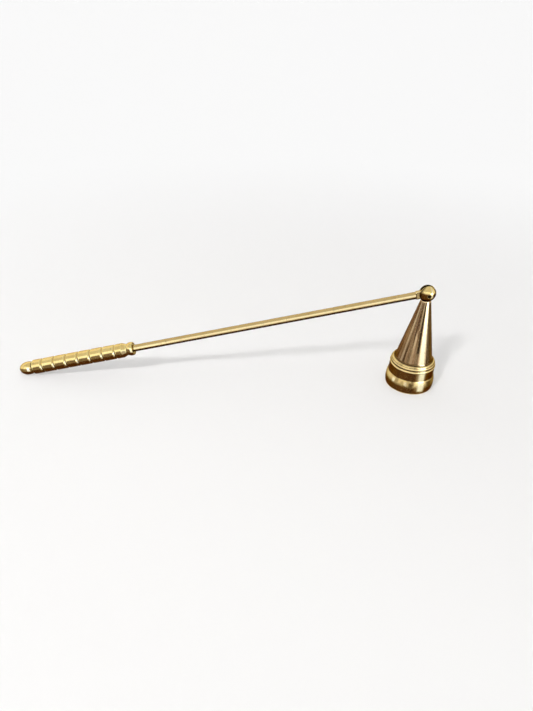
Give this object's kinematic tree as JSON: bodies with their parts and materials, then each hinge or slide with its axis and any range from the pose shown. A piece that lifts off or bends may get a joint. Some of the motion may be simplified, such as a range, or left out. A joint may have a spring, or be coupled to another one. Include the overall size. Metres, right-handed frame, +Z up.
{
  "type": "candle snuffer",
  "caption": "Candle snuffer: a hollow conical bell with a moulded skirt, hinged by a slotted ball to a long slim rod with a turned, grooved grip and an olive-shaped pommel.",
  "frame": {"origin": "centre of the footprint, on the plane the bell's mouth and the pommel rest on", "axes": "+X along the handle towards the bell, +Y along the hinge pin, +Z up"},
  "size_m": [0.293, 0.0332, 0.0745],
  "materials": {
    "drawn_brass": "polished, aged",
    "turned_brass": "polished, aged",
    "cone_brass": "polished, aged",
    "collar_brass": "polished, aged",
    "fastener_brass": "dull, aged"
  },
  "bodies": {
    "handle": {"rod": "drawn_brass", "ferrule": "turned_brass", "grip": "turned_brass", "pommel": "turned_brass"},
    "bell": {"swivel_ball": "turned_brass", "pivot_pin": "fastener_brass", "bell_cone": "cone_brass", "bell_collar": "collar_brass", "clamp_washer": "fastener_brass", "clamp_screw": "fastener_brass"}
  },
  "joints": [
    {"name": "bell_swing", "type": "hinge", "parent": "handle", "child": "bell", "pos_m": [0.12987, 0, 0.0692], "axis": [0, -1, 0], "range_deg": [-2.5, 209]}
  ]
}
